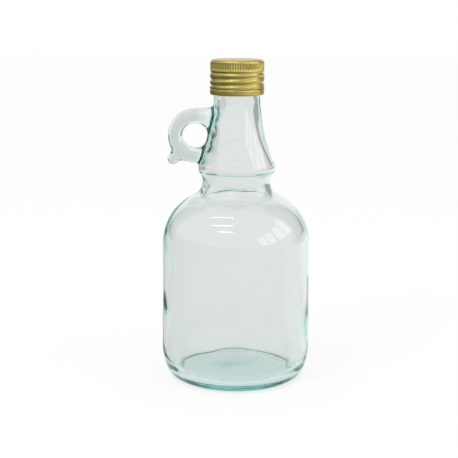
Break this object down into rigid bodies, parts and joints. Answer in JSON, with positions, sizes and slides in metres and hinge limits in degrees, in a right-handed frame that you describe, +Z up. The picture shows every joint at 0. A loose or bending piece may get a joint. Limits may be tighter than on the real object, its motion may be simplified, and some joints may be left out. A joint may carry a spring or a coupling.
{
  "type": "glass jug",
  "caption": "Clear glass handled jug with a finger ring on its bell-shaped neck, closed by a roll-on aluminium screw cap with a tamper band and a liner.",
  "frame": {"origin": "the jug's upright axis, on the surface that it stands on", "axes": "+Z up along the jug's axis, the finger ring towards -X, the front towards -Y"},
  "size_m": [0.0882, 0.0882, 0.1889],
  "materials": {
    "clear_glass": "polished, very faint green",
    "gold_metal": "gold lacquer, satin",
    "liner_foam": "fine closed-cell foam",
    "liner_film": "smooth film"
  },
  "bodies": {
    "jug": {"glass_base": "clear_glass", "glass_body": "clear_glass", "glass_shoulder": "clear_glass", "glass_waist": "clear_glass", "glass_neck": "clear_glass", "glass_finish": "clear_glass", "finger_ring": "clear_glass"},
    "liner": {"liner_sealing_film": "liner_film", "liner_foam": "liner_foam", "liner_backing_film": "liner_film"},
    "cap": {"cap_shell": "gold_metal"},
    "band": {"tamper_band": "gold_metal"}
  },
  "joints": [
    {"name": "cap_rise", "type": "slide", "parent": "jug", "child": "liner", "axis": [0, 0, 1], "range_m": [0, 0.021]},
    {"name": "cap_turn", "type": "hinge", "parent": "liner", "child": "cap", "pos_m": [0, 0, 0.18], "axis": [0, 0, 1], "range_deg": [0, 2160]},
    {"name": "band_turn", "type": "hinge", "parent": "jug", "child": "band", "pos_m": [0, 0, 0.1705], "axis": [0, 0, 1], "continuous": true}
  ],
  "couplings": [
    {"joint": "cap_rise", "follows": "cap_turn", "m_per_rad": 0.00055704}
  ]
}
